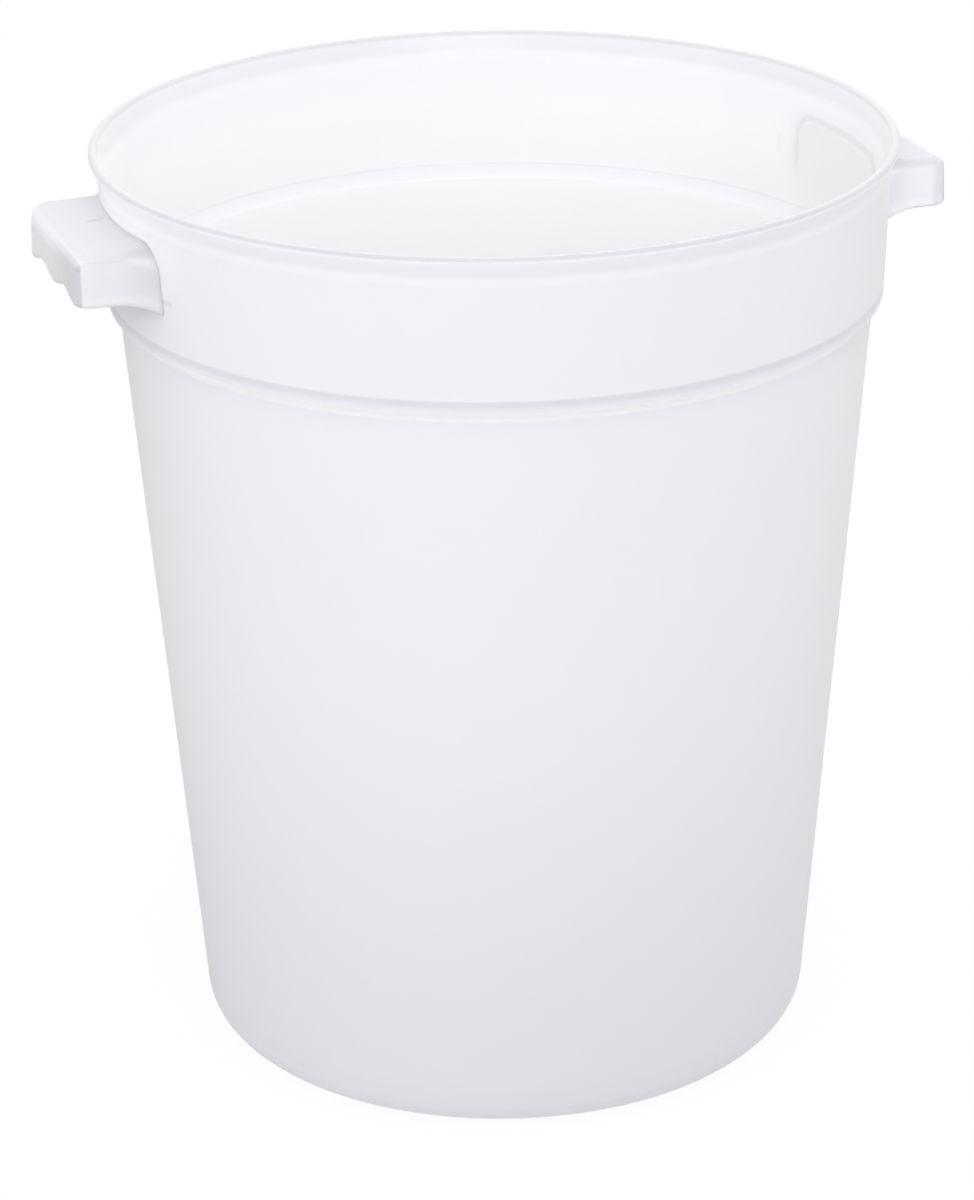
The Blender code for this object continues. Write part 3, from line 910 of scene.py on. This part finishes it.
def hood_shade(tub, hood, finish, glow):
    """A hood's colour, with painted shade making it darker on its top, brow and skirt, and painted
    light (glow) on its ends and root.
    """
    turn = hood.reach - hood.front_round * FRONT_TURN
    brow = hood.top - hood.front_round * BROW_DROP

    def shade(maker, place, tone):
        along, across, level = maker.parts(place)
        out = abs(along)
        over_reach = out - hood.reach
        near = maker.smooth_step(out - hood.spread_start, *NEAR_TUB)
        flat = maker.smooth_step(level - hood.top, *FLAT_TOP)
        front = maker.smooth_step(out - turn, *FRONT)
        upper = maker.smooth_step(level - brow, *UPPER)
        ends = maker.smooth_step(abs(across) - hood.half_width, *END_WALL)
        end = ends * (1.0 - front) * (1.0 - flat)
        corner = maker.smooth_step(-across, CORNER_START, hood.half_width - CORNER_INSET)
        # Painted shade near the tub, on the flat top, brow and skirt, in a line under the brow and
        # at a lit end wall's front corner; painted light lower on the end walls.
        shade_and_light = maker.toned(
            (near, finish.spread_shade),
            (flat, finish.top_shade),
            (front * upper * (1.0 - flat) * (corner + BROW_EVEN), finish.brow_shade),
            (front * (1.0 - upper) * maker.blend(SKIRT_EVEN, 1.0, corner), finish.skirt_shade),
            (maker.smooth_step(level - hood.bottom, *HEM) * end, -finish.hem_light),
            (maker.stripe(level - brow, *BROW_LINE) * front * corner, finish.brow_shade_line),
            (maker.smooth_step(over_reach, *TURNED_END) * ends * glow, finish.turn_shade))

        # Painted light: emission glow along the end walls' lower edge, on the lit end walls and
        # round the root.
        spread = (hood.spread_start - out) / (hood.spread_start - hood.spread_end)
        spread = spread.most(0.0).least(SHADE_LIMIT)
        lower = hood.bottom - spread * spread * hood.side_drop
        hem = maker.smooth_step(level - lower, *HEM_EDGE) * ends * finish.hem_glow
        lit = maker.smooth_step(over_reach, *LIT_END) * end * glow
        root = maker.smooth_step(maker.hypot(out, across) - band_radius(tub, 0.5), *ROOT)
        through = (root * finish.root_glow).most(lit).most(hem)
        # The hood's colour is the darker, painted-shade copy of the plastic.
        base = tuple(finish.shaded_handle_colour)
        return maker.scaled(base, shade_and_light * tone), maker.scaled(base, through)

    return shade


def settle(item, node):
    """Puts a piece in place of a CAD node, on the body that carries it."""
    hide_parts(node)
    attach(item, "root")


class CONTAINER_OT_tub(bpy.types.Operator):
    """Turns the tub's shell and presses the finger pockets into it"""
    bl_idname = "container.tub"
    bl_label = "Make Tub"

    def execute(self, context):
        tub, pocket, _, finish, _ = settings()
        profile = [(x, inner, z) for x, z, inner in tub_profile(tub, pocket)]
        angles = [(angle, 0.0, 0.0) for angle in turn_marks(tub, pocket)]
        marks = new_object("turn_marks", line_mesh("turn_marks", angles))
        material = plastic("milky_tub_plastic", finish, finish.tub_colour,
                           tub_shade(tub, pocket, finish))
        inputs = {
            **named(tub, ("height", "wall")),
            **named(pocket, ("half_width", "inner_half_width", "drop", "inner_drop", "corner",
                             "side_width")),
            "Turn marks": marks,
            "Columns": len(angles) - 1,
            "Rows": len(profile),
            "Pocket floor": band_radius(tub, 1.0) + pocket.stand,
            "Merge distance": MERGE_DISTANCE,
            "Material": material,
        }
        tree = tub_group(inputs)
        shell = made_piece("tub_shell", line_mesh("tub_profile", profile), tree, inputs, material)
        bpy.data.objects.remove(marks, do_unlink=True)
        settle(shell, "tub")
        return {"FINISHED"}


class CONTAINER_OT_hoods(bpy.types.Operator):
    """Moulds the two hooded handles"""
    bl_idname = "container.hoods"
    bl_label = "Make Handles"

    def execute(self, context):
        tub, pocket, hood, finish, _ = settings()
        seat = band_radius(tub, 1.0) + pocket.stand - SEAT_SINK
        inner_end = math.sqrt(seat ** 2 - (hood.half_width + hood.spread) ** 2) - ROOM_BEHIND
        outer_end = hood.reach + ROOM_FRONT
        height = hood.top + ROOM_ABOVE - hood.bottom + ROOM_BELOW
        sizes = named(hood, [key for key in HoodSizes.__annotations__ if key != "voxel"])
        # Each hood has its own share of painted light on its end walls.
        for name, node, side, glow in (("right_hood", "right_handle", 1.0, finish.right_glow),
                                       ("left_hood", "left_handle", -1.0, finish.left_glow)):
            material = plastic("milky_" + name + "_plastic", finish, finish.shaded_handle_colour,
                               hood_shade(tub, hood, finish, glow))
            low_x, high_x = sorted((side * inner_end, side * outer_end))
            inputs = {
                **sizes,
                **named(pocket, ("corner",)),
                "Side": side,
                "Tub radius": band_radius(tub, 0.5),
                "Seat radius": seat,
                "Low X": low_x,
                "High X": high_x,
                "Cells X": round((high_x - low_x) / hood.voxel),
                "Cells Y": round(2 * (hood.half_width + ROOM_BESIDE) / hood.voxel),
                "Cells Z": round(height / hood.voxel),
                "Material": material,
            }
            tree = hood_group(inputs)
            start = bpy.data.meshes.new(name + "_start")
            piece = made_piece(name, start, tree, inputs, material)
            settle(piece, node)
        return {"FINISHED"}


WHITE = (1.0, 1.0, 1.0, 1.0)
LAMP_AIM = (0.0, 0.0, 0.2)
LAMPS = [  # name, place and watts
    ("front_lamp", (-0.35, -1.96, 1.3), 11.0),
    ("right_lamp", (1.9, -0.1, 0.9), 2.5),
    ("left_lamp", (-1.9, -0.4, 0.6), 4.0),
]


def seen(maker):
    """1 where the camera looks at it, and 0 for its light."""
    return Field(maker, maker.node("ShaderNodeLightPath").outputs["Is Camera Ray"])


def matte_floor(stage):
    """A matte floor that the camera sees as nearly white."""
    half, level = stage.floor_half, -stage.floor_drop
    mesh = bpy.data.meshes.new("floor")
    mesh.from_pydata([(-half, -half, level), (half, -half, level), (half, half, level),
                      (-half, half, level)], [], [(0, 1, 2, 3)])
    material = bpy.data.materials.new("pale_floor")
    material.use_nodes = True
    maker = Maker(material.node_tree)
    matte = maker.node("ShaderNodeBsdfDiffuse", {}, {"Color": (*stage.floor_colour, 1.0)})
    white = maker.node("ShaderNodeEmission", {}, {"Color": WHITE, "Strength": stage.floor_glow})
    mixed = maker.node("ShaderNodeMixShader", {}, {
        0: seen(maker) * stage.floor_white, 1: matte.outputs[0], 2: white.outputs[0]})
    maker.node("ShaderNodeOutputMaterial", {}, {"Surface": mixed.outputs[0]})
    mesh.materials.append(material)
    return new_object("floor", mesh)


def white_world(stage):
    """Soft light from all round, and a white background."""
    world = bpy.data.worlds.new("studio")
    world.use_nodes = True
    maker = Maker(world.node_tree)
    sky = maker.node("ShaderNodeBackground", {}, {
        "Color": WHITE, "Strength": maker.blend(stage.world, 1.0, seen(maker))})
    maker.node("ShaderNodeOutputWorld", {}, {"Surface": sky.outputs[0]})
    return world


def soft_box(stage, name, place, power):
    """A square studio lamp that points at the tub."""
    lamp = bpy.data.lights.new(name, "AREA")
    lamp.size = stage.lamp_size
    lamp.energy = power
    item = new_object(name, lamp)
    item.location = place
    aim = Vector(LAMP_AIM) - Vector(place)
    item.rotation_euler = aim.to_track_quat("-Z", "Y").to_euler()


def photo_camera(stage):
    """The camera that the photo was taken with, as fitted to its outlines."""
    camera = bpy.data.cameras.new("camera")
    camera.lens = stage.lens
    camera.clip_start = 0.05
    item = new_object("camera", camera)
    item.location = stage.place
    item.rotation_euler = Euler(stage.turn)
    return item


class CONTAINER_OT_stage(bpy.types.Operator):
    """Makes the floor, the lamps, the world and the camera"""
    bl_idname = "container.stage"
    bl_label = "Make Stage"

    def execute(self, context):
        scene = context.scene
        stage = scene.stage_settings
        floor = matte_floor(stage)
        scene.world = white_world(stage)
        for lamp in LAMPS:
            soft_box(stage, *lamp)
        scene.camera = photo_camera(stage)
        scene.view_settings.view_transform = "Standard"
        return {"FINISHED"}


class CONTAINER_PT_panel(bpy.types.Panel):
    """Lists the container's pieces and sizes"""
    bl_label = "Container"
    bl_idname = "CONTAINER_PT_panel"
    bl_space_type = "VIEW_3D"
    bl_region_type = "UI"
    bl_category = "Container"

    def draw(self, context):
        layout = self.layout
        for operator in ("container.tub", "container.hoods", "container.stage"):
            layout.operator(operator)
        for group in settings():
            box = layout.box()
            for name in group.__annotations__:
                box.prop(group, name)


classes = (*GROUPS.values(), CONTAINER_OT_tub, CONTAINER_OT_hoods, CONTAINER_OT_stage,
           CONTAINER_PT_panel)


def register():
    for item in classes:
        bpy.utils.register_class(item)
    for name, group in GROUPS.items():
        setattr(bpy.types.Scene, name, PointerProperty(type=group))


def unregister():
    for name in GROUPS:
        delattr(bpy.types.Scene, name)
    for item in reversed(classes):
        bpy.utils.unregister_class(item)


def main():
    register()
    bpy.ops.container.tub()
    bpy.ops.container.hoods()
    bpy.ops.container.stage()


if __name__ == "__main__":
    main()
